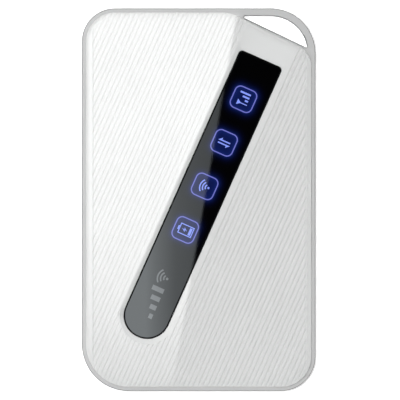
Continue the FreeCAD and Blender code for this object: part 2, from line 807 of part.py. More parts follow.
def electronics():
    for label, ranges in CANS.items():
        can(label, *ranges)
    for label, sizes in PACKAGES.items():
        node(package(label.title().replace("_", ""), *sizes), label)
    amplifiers = []
    for i in range(3):
        across = (f"9 + {i} * 5", f"12.5 + {i} * 5")
        amplifiers.append(package(f"Amplifier{i}", across, ("0 - 26", "0 - 22"), "0.8"))
    node(group("Amplifiers", amplifiers), "power_amplifiers")
    coils = []
    for i in range(3):
        across = (f"0 - 8 + {i} * 4.2", f"0 - 5 + {i} * 4.2")
        coils.append(package(f"Coil{i}", across, ("0 - 36", "0 - 33"), "inductorHeight"))
    node(group("Coils", coils), "power_inductors")
    capacitors = []
    for i in range(12):
        x, y = f"0 - 9 + {i % 6} * capacitorPitch", f"0 - 39.5 - {i // 6} * 2"
        capacitors.append(package(f"Capacitor{i}", (x, f"{x} + 1.2"), (y, f"{y} + 0.8"), "capacitorHeight"))
    node(group("Capacitors", capacitors), "board_capacitors")
    x, y, tall = PACKAGES["modem_chip"]
    upright = (f"{BOARD_TOP} + {tall}", f"{BOARD_TOP} + shieldHeight - shieldSheet")
    across, along = (f"{x[0]} + 0.5", f"{x[1]} - 0.5"), (f"{y[0]} + 0.5", f"{y[1]} - 0.5")
    node(block("ThermalPad", across, along, upright), "thermal_pad")


def usb_inlet():
    """A five-pin inlet hung from the back of the board, with its mouth in the frame's lower edge."""
    low = "0 - height / 2 + usbSink"
    high = f"{low} + usbDeep"
    outer = pill("UsbOuter", 0, "usbMiddle", "usbWide", "usbTall", low, high)
    bore = ("usbWide - 2 * usbSheet", "usbTall - 2 * usbSheet")
    inner = pill("UsbInner", 0, "usbMiddle", *bore, f"{low} - 0.1", f"{high} - 0.5")
    node(cut("UsbShell", outer, [inner]), "usb_shell")
    across = ("0 - 2.6", "2.6")
    upright = ("usbMiddle + 0.1", "usbMiddle + 0.7")
    along = (f"{high} - 1.6", f"{high} - 0.6")
    base = block("UsbBase", ("0 - 3", "3"), along, ("usbMiddle - 0.8", "usbMiddle + 0.8"))
    blade = block("UsbBlade", across, (f"{low} + 0.9", f"{high} - 1.5"), upright)
    node(joined("UsbTongue", [base, blade]), "usb_tongue")
    strips = []
    for i in range(5):
        x = f"0 - 1.5 + {i} * usbPitch"
        along = (f"{low} + 1.1", f"{high} - 1.7")
        strips.append(block(f"UsbStrip{i}", (x, f"{x} + 0.4"), along, ("usbMiddle", "usbMiddle + 0.08")))
    node(group("UsbContacts", strips), "usb_contacts")


def sim():
    """The card, its socket on the back of the board, and the socket's six contacts."""
    across = ("simLeft", "simLeft + simLength")
    along = ("simMiddle - simWidth / 2", "simMiddle + simWidth / 2")
    upright = ("simBottom", "simBottom + simThickness")
    card = plate("SimCard", lambda s: draw_rectangle(s, across, along, "simCorner"), *upright)
    node(card, "sim_card")
    outer = block(
        "SimOuter",
        ("simLeft - 0.9", "simLeft + simSocketLong"),
        (f"{along[0]} - 0.8", f"{along[1]} + 0.8"),
        ("simBottom - 0.5", "boardBottom"),
    )
    inner = block(
        "SimInner",
        ("simLeft - simGap", "simLeft + simSocketLong + 1"),
        (f"{along[0]} - simGap", f"{along[1]} + simGap"),
        ("simBottom - 0.15", "boardBottom - 0.15"),
    )
    node(cut("SimSocket", outer, [inner]), "sim_socket")
    contacts = []
    for i in range(6):
        x, y = f"simLeft + 3 + {i // 3} * 8", f"simMiddle - 3.3 + {i % 3} * 2.54"
        level = ("simBottom - 0.14", "simBottom - 0.04")
        contacts.append(block(f"SimContact{i}", (x, f"{x} + 3"), (y, f"{y} + 1.5"), level))
    node(group("SimContacts", contacts), "sim_contacts")


def switch(name, at, label):
    """An edge button with its side-push switch on the back of the board."""
    size = ("buttonWide", "buttonTall")
    cap = pill(name + "Cap", at, "buttonMiddle", *size, "capBack", "height / 2 - buttonSink")
    size = ("buttonWide + 1.2", "flangeTall")
    flange = pill(name + "Flange", at, "buttonMiddle", *size, "flangeBack", "flangeFront")
    node(joined(name + "Button", [cap, flange]), label + "_button")
    shell = block(
        name + "Shell",
        (f"{at} - switchHalf", f"{at} + switchHalf"),
        ("switchBack", "switchFront"),
        ("buttonMiddle - 1.75", "boardBottom"),
    )
    half, tall = "stemHalf + stemGap", "stemTall / 2 + stemGap"
    bore = block(
        name + "Bore",
        (f"{at} - ({half})", f"{at} + {half}"),
        ("stemBack - stemTravel", "switchFront + 0.1"),
        (f"buttonMiddle - ({tall})", f"buttonMiddle + {tall}"),
    )
    node(cut(name + "Switch", shell, [bore]), label + "_switch")
    stem = block(
        name + "Stem",
        (f"{at} - stemHalf", f"{at} + stemHalf"),
        ("stemBack", "flangeBack"),
        ("buttonMiddle - stemTall / 2", "buttonMiddle + stemTall / 2"),
    )
    node(stem, label + "_stem")


def reset_switch():
    """The small switch behind the pinhole beside the inlet."""
    at, middle = "resetAt", "usbMiddle"
    upright = (f"{middle} - 1.4", "boardBottom")
    shell = block("ResetShell", (f"{at} - 2", f"{at} + 2"), ("0 - 46.3", "0 - 44"), upright)
    bore = block(
        "ResetBore",
        (f"{at} - resetStem - stemGap", f"{at} + resetStem + stemGap"),
        ("0 - 46.4", "0 - 44.9"),
        (f"{middle} - resetStem - stemGap", f"{middle} + resetStem + stemGap"),
    )
    node(cut("ResetSwitch", shell, [bore]), "reset_switch")
    stem = rod_along_y("ResetStem", at, middle, "resetStem", "0 - 46.8", "0 - 45.3")
    node(stem, "reset_stem")


def battery():
    """The cell, its printed sleeve, its contacts, and the spring connector at the end of its bay."""
    half, top = "batteryWidth / 2", "batteryBottom + batteryThickness"
    inside = (f"0 - {half} + wrapSide", f"{half} - wrapSide")
    upright = ("batteryBottom + wrapFace", f"{top} - wrapFace")
    along = ("batteryLow + wrapSide", "batteryHigh - wrapSide")
    cell = plate("Cell", lambda s: draw_rectangle(s, inside, along, "cellCorner"), *upright)
    node(cell, "battery_pack")
    covered = ("batteryLow + 5", "batteryHigh - 8")
    sleeve = block("Sleeve", (f"0 - {half}", half), covered, ("batteryBottom", top))
    bore = block("SleeveBore", inside, ("batteryLow - 1", "batteryHigh + 1"), upright)
    node(cut("Wrap", sleeve, [bore]), "battery_wrap")
    pads, springs = [], []
    for i in range(4):
        x = f"0 - 4.2 + {i} * contactPitch"
        across = (x, f"{x} + contactWide")
        pads.append(block(f"Pad{i}", across, ("batteryHigh - wrapSide", "batteryHigh"), ("3.0", "5.2")))
        reach = ("batteryHigh + 0.15", "batteryHigh + 1.2")
        springs.append(block(f"Spring{i}", across, reach, ("3.8", "4.6")))
    node(group("Pads", pads), "battery_contacts")
    holder = block("Holder", ("0 - 5.1", "5.1"), ("batteryHigh + 1.2", "18.4"), ("3.0", "boardBottom"))
    node(holder, "battery_connector")
    node(group("Springs", springs), "battery_springs")


def antenna(label, x, y, turns):
    """A flexible antenna on the cover's ceiling: one strip turned back and forth by slots."""
    name = label.title().replace("_", "")
    level = ("coverCeiling - 0.15", "coverCeiling")
    base = block(name + "Base", x, y, level)
    slots = []
    for i in range(turns):
        low = f"{y[0]} + ({y[1]} - ({y[0]})) * {i + 1} / {turns + 1} - 0.35"
        inset = ("1.4", "0 - 0.5") if i % 2 else ("0 - 0.5", "1.4")
        across = (f"{x[0]} + ({inset[0]})", f"{x[1]} - ({inset[1]})")
        upright = ("coverCeiling - 1", "coverCeiling + 1")
        slots.append(block(f"{name}Slot{i}", across, (low, f"{low} + 0.7"), upright))
    return node(cut(name, base, slots), label)


def antennas():
    for label, sizes in ANTENNAS.items():
        antenna(label, *sizes)
    springs = []
    for i, (x, y) in enumerate(ANTENNA_FEEDS):
        upright = (BOARD_TOP, "coverCeiling - 0.2")
        springs.append(block(f"AntennaSpring{i}", (x, f"{x} + 1.2"), (y, f"{y} + 0.7"), upright))
    node(group("AntennaSprings", springs), "antenna_springs")


def screw(name, x, y, head, shank, head_from, head_to, shank_from, shank_to):
    """A screw: a round head and a shank, each between two levels."""
    top = rod(name + "Head", x, y, head, head_from, head_to)
    stem = rod(name + "Shank", x, y, shank, shank_from, shank_to)
    return joined(name, [top, stem])


def fasteners():
    housing = []
    for i, (x, y) in enumerate(BOSSES):
        seat = "chassisBottom + headRise"
        levels = (seat, f"{seat} + headThickness", f"{seat} + headThickness - 0.05", "11.2")
        housing.append(screw(f"HousingScrew{i}", x, y, "screwHead", "screwShank", *levels))
    node(group("HousingScrews", housing), "housing_screws")
    board = []
    for i, (x, y) in enumerate(BOARD_POSTS):
        levels = (BOARD_TOP, f"{BOARD_TOP} + 0.6", "6.3", f"{BOARD_TOP} + 0.1")
        board.append(screw(f"BoardScrew{i}", x, y, "boardHead", "boardShank", *levels))
    node(group("BoardScrews", board), "board_screws")


# ---------------------------------------------------------------- whole device


front_cover()
display()
middle_frame()
back_cover()
main_board()
electronics()
usb_inlet()
sim()
switch("Power", "powerAt", "power")
switch("Wps", "wpsAt", "wps")
reset_switch()
battery()
antennas()
fasteners()
doc.recompute()

failed = [thing.Label for thing in doc.Objects if {"Invalid", "Error"} & set(thing.State)]
for thing in nodes:
    shape = thing.Shape
    if shape.isNull() or not shape.isValid() or not shape.Solids:
        failed.append(thing.Label)
if failed:
    raise RuntimeError("these objects failed: " + ", ".join(failed))

os.makedirs("parts", exist_ok=True)
for thing in nodes:
    thing.Shape.exportStep(f"parts/{thing.Label}.step")
    print(f"{thing.Label}: {len(thing.Shape.Solids)} solid(s), {thing.Shape.Volume:.1f} mm3")
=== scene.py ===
import math

import bmesh
import bpy
import numpy as np
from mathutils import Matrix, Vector
from mathutils.geometry import delaunay_2d_cdt


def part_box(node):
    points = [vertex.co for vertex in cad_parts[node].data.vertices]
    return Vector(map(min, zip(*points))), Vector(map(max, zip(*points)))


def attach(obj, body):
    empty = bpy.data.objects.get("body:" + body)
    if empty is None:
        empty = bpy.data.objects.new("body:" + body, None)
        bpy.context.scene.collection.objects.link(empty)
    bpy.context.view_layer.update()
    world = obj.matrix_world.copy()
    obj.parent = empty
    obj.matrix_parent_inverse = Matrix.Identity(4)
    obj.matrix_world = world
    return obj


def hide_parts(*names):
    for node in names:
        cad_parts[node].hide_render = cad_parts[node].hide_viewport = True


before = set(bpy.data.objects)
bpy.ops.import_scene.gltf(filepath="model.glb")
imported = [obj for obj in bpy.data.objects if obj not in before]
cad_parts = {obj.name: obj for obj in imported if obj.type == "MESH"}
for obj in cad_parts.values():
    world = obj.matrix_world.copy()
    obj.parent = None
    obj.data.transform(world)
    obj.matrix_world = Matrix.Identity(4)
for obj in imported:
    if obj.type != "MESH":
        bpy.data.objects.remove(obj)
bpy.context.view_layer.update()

MM = 0.001
BODY = "housing"

# ---------------------------------------------------------------- sizes, in millimetres

LEAN = math.radians(24.02)  # the window's axis, clockwise from +Y
SLANT = math.radians(25.6)  # the covers' slanted edge, below the horizontal
SKIM = 0.02  # how far the visual cover stands above the CAD one
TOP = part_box("front_cover")[1].z / MM + SKIM
COVER_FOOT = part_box("middle_frame")[1].z / MM - 0.8
HALF_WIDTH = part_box("front_cover")[1].x / MM
HALF_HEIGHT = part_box("front_cover")[1].y / MM
COVER_SLANT = 48.55
COVER_RADII = (8.05, 6.5, 10.0, 7.65, 11.35)
EDGE_ROUND = 2.1
# insets of the mesh's lines along the edge
EDGE_LINES = (0, 0.04, 0.12, 0.24, 0.42, 0.65, 0.95, 1.3, EDGE_ROUND, EDGE_ROUND + 0.15)
WALL = 1.3
CEILING = 1.6  # from the cover's top down to the inside of its roof

RIB_PITCH = 1.1824
RIB_PHASE = 0.609
RIB_DEPTH = 0.3
RIB_FLAT, RIB_CROWN = 0.2, 0.14  # the nearly flat share of half a rib, and how much of the depth is its crown
RIB_LEFT, RIB_RIGHT = -28.25, 28.75
RIB_END, RIB_SINK = 0.25, 0.22
SINK_REACH = 1.5  # how far from the channel the rib field reaches its full sink
# the mesh's lines along each rib, as shares of the pitch
RIB_LINES = (-0.5, -0.43, -0.36, -0.29, -0.22, -0.14, 0, 0.14, 0.22, 0.29, 0.36, 0.43)
RIB_SPAN, LINE_REACH = 50, 75  # how far across and along the axis the mesh lines go

WINDOW_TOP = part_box("display_window")[1].z / MM
WINDOW_HALF = 6.22
WINDOW_HIGH, WINDOW_LOW = 41.1, -39.95
WINDOW_CORNER = 1.15
SEAT_GAP = 0.08
SEAT_DEPTH = 0.95
LEDGE_ACROSS, LEDGE_ALONG = 0.82, 0.965  # the ledge's opening, as shares of the seat
CHANNEL_LEFT, CHANNEL_RIGHT, CHANNEL_LOW = -7.2, 7.8, -41.3
CHANNEL_DROP = 0.7

ICON_FIRST, ICON_PITCH = 29.28, 12.7
ICON_HALF, ICON_CORNER, ICON_LINE = 3.19, 1.65, 0.3
ICON_FILL = 0.35  # the light inside an icon's frame, against the light at its line
GLOW_OUT, GLOW_IN = 1.9, 1.1  # how fast the glow fades per millimetre, outside and inside the line
MARK_LOW, MARK_PITCH, MARK_WAVES = -34.2, 2.45, -22.7  # the printed mark, along the axis


def leaning(v, u):
    """X and Y of a place given across and along the window's axis."""
    return (
        v * math.cos(LEAN) + u * math.sin(LEAN),
        u * math.cos(LEAN) - v * math.sin(LEAN),
    )


# ---------------------------------------------------------------- outlines


class Outline:
    """A convex outline of straight sides and round corners, anticlockwise.

    Each side is (angle of its outward normal, distance from the origin); radii follow each side."""

    def __init__(self, sides, radii):
        self.normals = np.array([[math.cos(a), math.sin(a)] for a, _ in sides])
        self.distances = np.array([d for _, d in sides], float)
        self.radii = np.array(radii, float)
        self.ways = np.stack([-self.normals[:, 1], self.normals[:, 0]], 1)
        self.centres = []
        for i in range(len(sides)):
            j = (i + 1) % len(sides)
            pair = np.array([self.normals[i], self.normals[j]])
            inner = np.array([self.distances[i], self.distances[j]]) - self.radii[i]
            self.centres.append(np.linalg.solve(pair, inner))
        self.centres = np.array(self.centres)

    def loop(self, inset=0.0, step=5):
        """The points of the outline moved in by inset, with one point each step degrees round a corner."""
        points = []
        for i, centre in enumerate(self.centres):
            radius = max(self.radii[i] - inset, 0.02)
            j = (i + 1) % len(self.centres)
            first = math.atan2(self.normals[i][1], self.normals[i][0])
            turn = math.atan2(self.normals[j][1], self.normals[j][0]) - first
            turn %= 2 * math.pi
            count = max(2, math.ceil(math.degrees(turn) / step))
            if inset > self.radii[i]:
                centre = centre - (self.normals[i] + self.normals[j]) / 2 * (inset - self.radii[i])
            for k in range(count + 1):
                angle = first + turn * k / count
                points.append((centre[0] + radius * math.cos(angle), centre[1] + radius * math.sin(angle)))
        return points

    def depth(self, points):
        """How far inside the outline each point is; negative outside it."""
        points = np.asarray(points, float)
        found = (self.distances[None, :] - points @ self.normals.T).min(1)
        for i, centre in enumerate(self.centres):
            j = (i + 1) % len(self.centres)
            off = points - centre
            corner = (off @ self.ways[i] > 0) & (off @ self.ways[j] < 0)
            found = np.where(corner, self.radii[i] - np.linalg.norm(off, axis=1), found)
        return found


def leaning_outline(left, right, low, high, low_radius, high_radius):
    """An outline on the window's axis."""
    sides = [
        (-math.pi / 2 - LEAN, -low),
        (-LEAN, right),
        (math.pi / 2 - LEAN, high),
        (math.pi - LEAN, -left),
    ]
    return Outline(sides, (low_radius, high_radius, high_radius, low_radius))


def window_outline(grow=0.0):
    half = WINDOW_HALF + grow
    low, high = WINDOW_LOW - grow, WINDOW_HIGH + grow
    return leaning_outline(-half, half, low, high, half - 0.05, WINDOW_CORNER + grow)


COVER = Outline(
    [
        (-math.pi / 2, HALF_HEIGHT),
        (0, HALF_WIDTH),
        (math.pi / 2 - SLANT, COVER_SLANT),
        (math.pi / 2, HALF_HEIGHT),
        (math.pi, HALF_WIDTH),
    ],
    COVER_RADII,
)
CHANNEL_RADIUS = (CHANNEL_RIGHT - CHANNEL_LEFT) / 2 - 0.02
CHANNEL = leaning_outline(CHANNEL_LEFT, CHANNEL_RIGHT, CHANNEL_LOW, 70, CHANNEL_RADIUS, 1)
SEAT = window_outline(SEAT_GAP)


# ---------------------------------------------------------------- meshes


def link(name, mesh):
    made = bpy.data.objects.new(name, mesh)
    bpy.context.scene.collection.objects.link(made)
    return made


def plate(name, loop, low, high, hole=None):
    """A flat plate from an outline, with an optional hole."""
    loops = [loop] + ([hole] if hole else [])
    points, edges, numbers = [], [], []
    for each in loops:
        start = len(points)
        points += list(each)
        number = list(range(start, len(points)))
        numbers.append(number)
        edges += [(number[i], number[(i + 1) % len(number)]) for i in range(len(number))]
    flat = [Vector(p) for p in points]
    made = delaunay_2d_cdt(flat, edges, [], 1, 1e-7)
    verts, faces = made[0], made[2]
    if hole:
        rim = Loop(hole)
        faces = [f for f in faces if not rim.holds(sum((verts[i] for i in f), Vector((0, 0))) / len(f))]
    solid = bmesh.new()
    top = [solid.verts.new((v.x * MM, v.y * MM, high * MM)) for v in verts]
    for f in faces:
        solid.faces.new([top[i] for i in f])
    grown = bmesh.ops.extrude_face_region(solid, geom=solid.faces[:])
    moved = [g for g in grown["geom"] if isinstance(g, bmesh.types.BMVert)]
    bmesh.ops.translate(solid, verts=moved, vec=(0, 0, (low - high) * MM))
    bmesh.ops.recalc_face_normals(solid, faces=solid.faces)
    mesh = bpy.data.meshes.new(name)
    solid.to_mesh(mesh)
    solid.free()
    mesh.shade_smooth()
    mesh.set_sharp_from_angle(angle=math.radians(35))
    return link(name, mesh)


class Loop:
    """A closed loop of points, and whether it holds a place."""

    def __init__(self, points):
        self.points = np.array(points, float)

    def holds(self, place):
        x, y = place[0], place[1]
        a, b = self.points, np.roll(self.points, -1, axis=0)
        over = (a[:, 1] > y) != (b[:, 1] > y)
        with np.errstate(divide="ignore", invalid="ignore"):
            cross = (b[:, 0] - a[:, 0]) * (y - a[:, 1]) / (b[:, 1] - a[:, 1]) + a[:, 0]
        return bool((over & (x < cross)).sum() % 2)


# ---------------------------------------------------------------- front cover


def cover_height(points):
    """The height of the front cover's outer surface at each place."""
    points = np.asarray(points, float)
    depth = np.clip(COVER.depth(points), 0, None)
    edge = np.clip(EDGE_ROUND - depth, 0, EDGE_ROUND)
    height = TOP - (EDGE_ROUND - np.sqrt(np.clip(EDGE_ROUND**2 - edge**2, 0, None)))

    inside = np.clip(CHANNEL.depth(points), 0, None)
    beyond = np.clip(-SEAT.depth(points), 0, None)
    share = inside / np.maximum(inside + beyond, 1e-6)
    share = np.where(inside > 0, share, 0)
    height -= CHANNEL_DROP * share

    across = points[:, 0] * math.cos(LEAN) - points[:, 1] * math.sin(LEAN)
    off = np.abs((across - RIB_PHASE) / RIB_PITCH % 1 - 0.5)
    off = 0.5 - off
    dip = np.clip((off - RIB_FLAT) / (0.5 - RIB_FLAT), 0, 1)
    groove = RIB_DEPTH * (RIB_CROWN * 4 * off**2 + (1 - RIB_CROWN) * dip * dip * (3 - 2 * dip))
    mask = np.clip((points[:, 0] - RIB_LEFT) / RIB_END, 0, 1)
    mask = mask * np.clip((RIB_RIGHT - points[:, 0]) / RIB_END, 0, 1)
    mask = mask * np.clip(-CHANNEL.depth(points) / 0.1, 0, 1)
    ends = np.clip((depth - 0.04) / 0.2, 0, 1)
    mask = mask * ends * ends * (3 - 2 * ends)
    sink = RIB_SINK * np.clip(-CHANNEL.depth(points) / SINK_REACH, 0, 1)
    return height - (groove + sink) * mask


def front_cover():
    """The ribbed shell: one surface through the ribs, the rounded edge and the channel, then its walls."""
    points, edges = [], []

    def polyline(loop, closed=True):
        start = len(points)
        points.extend(loop)
        last = len(loop) if closed else len(loop) - 1
        edges.extend((start + i, start + (i + 1) % len(loop)) for i in range(last))

    for inset in EDGE_LINES:
        polyline(COVER.loop(inset))
    polyline(SEAT.loop(0, step=3))

    reach = LINE_REACH
    first = math.floor(-RIB_SPAN / RIB_PITCH)
    for k in range(first, -first + 1):
        for share in RIB_LINES:
            v = RIB_PHASE + (k + share) * RIB_PITCH
            if abs(v) < RIB_SPAN:
                polyline([leaning(v, -reach), leaning(v, reach)], closed=False)
    for off in (-0.1, 0, RIB_END / 2, RIB_END, RIB_END + 0.12):
        polyline([(RIB_LEFT + off, -reach), (RIB_LEFT + off, reach)], closed=False)
        polyline([(RIB_RIGHT - off, -reach), (RIB_RIGHT - off, reach)], closed=False)
    for inset in (0.1, 0, -0.1, -0.25):
        polyline(CHANNEL.loop(inset, step=3))
    for grow in (0.25, 0.5, 0.8, 1.1):
        polyline(window_outline(SEAT_GAP + grow).loop(0, step=3))
    for i in range(20):
        u = WINDOW_HIGH + 0.3 + i * 0.5
        polyline([leaning(CHANNEL_LEFT, u), leaning(CHANNEL_RIGHT, u)], closed=False)

    made = delaunay_2d_cdt([Vector(p) for p in points], edges, [], 0, 1e-6)
    verts = np.array([(v.x, v.y) for v in made[0]])
    faces = np.array([f for f in made[2] if len(f) == 3])
    middles = verts[faces].mean(1)
    keep = (COVER.depth(middles) > 1e-5) & (SEAT.depth(middles) < -1e-5)
    faces = faces[keep]
    used = np.unique(faces)
    number = -np.ones(len(verts), int)
    number[used] = np.arange(len(used))
    verts, faces = verts[used], number[faces]
    heights = cover_height(verts)

    solid = bmesh.new()
    top = [solid.verts.new((x * MM, y * MM, z * MM)) for (x, y), z in zip(verts, heights)]
    for f in faces:
        solid.faces.new([top[i] for i in f])
    solid.edges.ensure_lookup_table()
    rims = boundary_loops(solid)
    rims.sort(key=lambda loop: -max(v.co.length for v in loop))
    outline, opening = rims[0], rims[1]

    def wall(loop, place):
        """A new loop below or beside one, and the faces between them."""
        fresh = [solid.verts.new(place(v.co)) for v in loop]
        for i in range(len(loop)):
            j = (i + 1) % len(loop)
            solid.faces.new((loop[i], loop[j], fresh[j], fresh[i]))
        return fresh

    def inward(distance, level):
        """Moves a point on the cover's outline inwards, to a level."""

        def place(co):
            at = np.array([[co.x / MM, co.y / MM]])
            step = 0.01
            slope = np.array(
                [
                    COVER.depth(at + [[step, 0]])[0] - COVER.depth(at - [[step, 0]])[0],
                    COVER.depth(at + [[0, step]])[0] - COVER.depth(at - [[0, step]])[0],
                ]
            )
            slope /= np.linalg.norm(slope)
            moved = at[0] + slope * distance
            return Vector((moved[0] * MM, moved[1] * MM, level * MM))

        return place

    foot = wall(outline, lambda co: Vector((co.x, co.y, COVER_FOOT * MM)))
    inner = wall(foot, inward(WALL, COVER_FOOT))
    ceiling = wall(inner, lambda co: Vector((co.x, co.y, (TOP - CEILING) * MM)))
    seat_floor = WINDOW_TOP - SEAT_DEPTH
    bottom = wall(opening, lambda co: Vector((co.x, co.y, seat_floor * MM)))

    def narrower(co):
        """Moves a point on the window's seat in to the ledge's inner edge."""
        x, y = co.x / MM, co.y / MM
        v = x * math.cos(LEAN) - y * math.sin(LEAN)
        u = x * math.sin(LEAN) + y * math.cos(LEAN)
        place = leaning(v * LEDGE_ACROSS, (u - 0.5) * LEDGE_ALONG + 0.5)
        return Vector((place[0] * MM, place[1] * MM, seat_floor * MM))

    ledge = wall(bottom, narrower)
    slot_foot = wall(ledge, lambda co: Vector((co.x, co.y, (TOP - CEILING) * MM)))
    bmesh.ops.bridge_loops(
        solid,
        edges=[e for loop in (ceiling, slot_foot) for e in loop_edges(solid, loop)],
    )
    bmesh.ops.recalc_face_normals(solid, faces=solid.faces)
    mesh = bpy.data.meshes.new("front_cover_shell")
    solid.to_mesh(mesh)
    solid.free()
    mesh.shade_smooth()
    mesh.set_sharp_from_angle(angle=math.radians(40))
    shell = link("front_cover_shell", mesh)
    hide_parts("front_cover")
    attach(shell, BODY)
    return shell


def boundary_loops(solid):
    """The closed loops of vertices along the open edges of a mesh."""
    open_edges = {e for e in solid.edges if len(e.link_faces) == 1}
    loops = []
    while open_edges:
        edge = open_edges.pop()
        loop = [edge.verts[0], edge.verts[1]]
        while True:
            following = next((e for e in loop[-1].link_edges if e in open_edges), None)
            if following is None:
                break
            open_edges.discard(following)
            after = following.other_vert(loop[-1])
            if after is loop[0]:
                break
            loop.append(after)
        loops.append(loop)
    return loops


def loop_edges(solid, loop):
    return [solid.edges.get((loop[i], loop[(i + 1) % len(loop)])) for i in range(len(loop))]


# ---------------------------------------------------------------- materials


class Nodes:
    """A material's node tree, with short calls to add and join nodes."""

    def __init__(self, name):
        self.material = bpy.data.materials.new(name)
        self.material.use_nodes = True
        self.tree = self.material.node_tree
        self.tree.nodes.clear()
        self.output = self.add("ShaderNodeOutputMaterial")
        self.shader = self.add("ShaderNodeBsdfPrincipled")
        self.join(self.shader, "BSDF", self.output, "Surface")

    def add(self, kind, **settings):
        node = self.tree.nodes.new(kind)
        for name, what in settings.items():
            setattr(node, name, what)
        return node

    def join(self, source, out, target, into):
        self.tree.links.new(source.outputs[out], target.inputs[into])

    def noise(self, scale, detail=3.0, roughness=0.5):
        place = self.add("ShaderNodeTexCoord")
        node = self.add("ShaderNodeTexNoise")
        node.inputs["Scale"].default_value = scale
        node.inputs["Detail"].default_value = detail
        node.inputs["Roughness"].default_value = roughness
        self.join(place, "Object", node, "Vector")
        return node

    def ramp(self, source, out, low, high, first, last):
        """A colour ramp between two positions."""
        node = self.add("ShaderNodeValToRGB")
        node.color_ramp.elements[0].position = low
        node.color_ramp.elements[0].color = first
        node.color_ramp.elements[1].position = high
        node.color_ramp.elements[1].color = last
        self.join(source, out, node, "Fac")
        return node

    def spread(self, source, out, low, high):
        """A number between low and high from a 0 to 1 source."""
        node = self.add("ShaderNodeMapRange")
        node.inputs["To Min"].default_value = low
        node.inputs["To Max"].default_value = high
        self.join(source, out, node, "Value")
        return node

    def bump(self, source, out, strength, distance):
        node = self.add("ShaderNodeBump")
        node.inputs["Strength"].default_value = strength
        node.inputs["Distance"].default_value = distance
        self.join(source, out, node, "Height")
        self.join(node, "Normal", self.shader, "Normal")
        return node

    def math(self, operation, first, second=None):
        """A Math node; each input is a number or a (node, output) pair."""
        node = self.add("ShaderNodeMath", operation=operation)
        for i, what in enumerate((first, second)):
            if what is None:
                continue
            if isinstance(what, tuple):
                self.tree.links.new(what[0].outputs[what[1]], node.inputs[i])
            else:
                node.inputs[i].default_value = what
        return (node, 0)


def tone(colour, factor):
    return tuple(min(1, c * factor) for c in colour) + (1,)


def moulded(name, colour, roughness, grain=900, relief=0.05, vary=0.02, wear=0.06):
    """Moulded plastic: fine grain, slight colour drift, and paler worn edges."""
    nodes = Nodes(name)
    shader = nodes.shader
    drift = nodes.noise(60, 2)
    base = nodes.ramp(drift, "Fac", 0.35, 0.65, tone(colour, 1 - vary), tone(colour, 1 + vary))
    edges = nodes.add("ShaderNodeNewGeometry")
    worn = nodes.ramp(edges, "Pointiness", 0.52, 0.62, (0, 0, 0, 1), (wear, wear, wear, 1))
    mix = nodes.add("ShaderNodeMix", data_type="RGBA", blend_type="ADD")
    mix.inputs["Factor"].default_value = 1
    nodes.tree.links.new(base.outputs["Color"], mix.inputs[6])
    nodes.tree.links.new(worn.outputs["Color"], mix.inputs[7])
    nodes.tree.links.new(mix.outputs[2], shader.inputs["Base Color"])
    fine = nodes.noise(grain, 4, 0.6)
    rough = nodes.spread(fine, "Fac", roughness * 0.85, roughness * 1.15)
    nodes.join(rough, "Result", shader, "Roughness")
    nodes.bump(fine, "Fac", relief, 0.0001)
    return nodes.material


def painted_side_shade(material, colour, low=0.25, high=0.93):
    """Paints shade into a moulded material's colour: a darker tone where its surface stands upright."""
    tree = material.node_tree
    shader = next(n for n in tree.nodes if n.type == "BSDF_PRINCIPLED")
    base = shader.inputs["Base Color"].links[0].from_socket
    place = tree.nodes.new("ShaderNodeTexCoord")
    split = tree.nodes.new("ShaderNodeSeparateXYZ")
    upward = tree.nodes.new("ShaderNodeMath")
    upward.operation = "ABSOLUTE"
    share = tree.nodes.new("ShaderNodeMapRange")
    share.interpolation_type = "SMOOTHSTEP"
    share.inputs["From Min"].default_value = low
    share.inputs["From Max"].default_value = high
    mix = tree.nodes.new("ShaderNodeMix")
    mix.data_type = "RGBA"
    mix.inputs[6].default_value = (*colour, 1)
    tree.links.new(place.outputs["Normal"], split.inputs[0])
    tree.links.new(split.outputs["Z"], upward.inputs[0])
    tree.links.new(upward.outputs[0], share.inputs["Value"])
    tree.links.new(share.outputs["Result"], mix.inputs["Factor"])
    tree.links.new(base, mix.inputs[7])
    tree.links.new(mix.outputs[2], shader.inputs["Base Color"])
    return material


def brushed(name, colour, roughness):
    """Sheet metal with fine drawn lines along X."""
    nodes = Nodes(name)
    shader = nodes.shader
    shader.inputs["Metallic"].default_value = 1.0
    place = nodes.add("ShaderNodeTexCoord")
    stretch = nodes.add("ShaderNodeMapping")
    stretch.inputs["Scale"].default_value = (80, 4000, 4000)
    nodes.join(place, "Object", stretch, "Vector")
    lines = nodes.add("ShaderNodeTexNoise")
    lines.inputs["Scale"].default_value = 1.0
    lines.inputs["Detail"].default_value = 3
    nodes.join(stretch, "Vector", lines, "Vector")
    base = nodes.ramp(lines, "Fac", 0.3, 0.7, tone(colour, 0.85), tone(colour, 1.1))
    nodes.join(base, "Color", shader, "Base Color")
    rough = nodes.spread(lines, "Fac", roughness * 0.7, roughness * 1.3)
    nodes.join(rough, "Result", shader, "Roughness")
    nodes.bump(lines, "Fac", 0.08, 0.0001)
    return nodes.material


def board_material():
    """Green solder mask over faint copper runs."""
    nodes = Nodes("solder_mask")
    shader = nodes.shader
    place = nodes.add("ShaderNodeTexCoord")
    cells = nodes.add("ShaderNodeTexBrick")
    cells.inputs["Scale"].default_value = 260
    cells.inputs["Mortar Size"].default_value = 0.03
    cells.inputs["Color1"].default_value = (0.012, 0.12, 0.05, 1)
    cells.inputs["Color2"].default_value = (0.01, 0.10, 0.045, 1)
    cells.inputs["Mortar"].default_value = (0.03, 0.2, 0.08, 1)
    nodes.join(place, "Object", cells, "Vector")
    nodes.join(cells, "Color", shader, "Base Color")
    fine = nodes.noise(1500, 3)
    rough = nodes.spread(fine, "Fac", 0.3, 0.45)
    nodes.join(rough, "Result", shader, "Roughness")
    nodes.bump(cells, "Fac", 0.1, 0.00005)
    return nodes.material


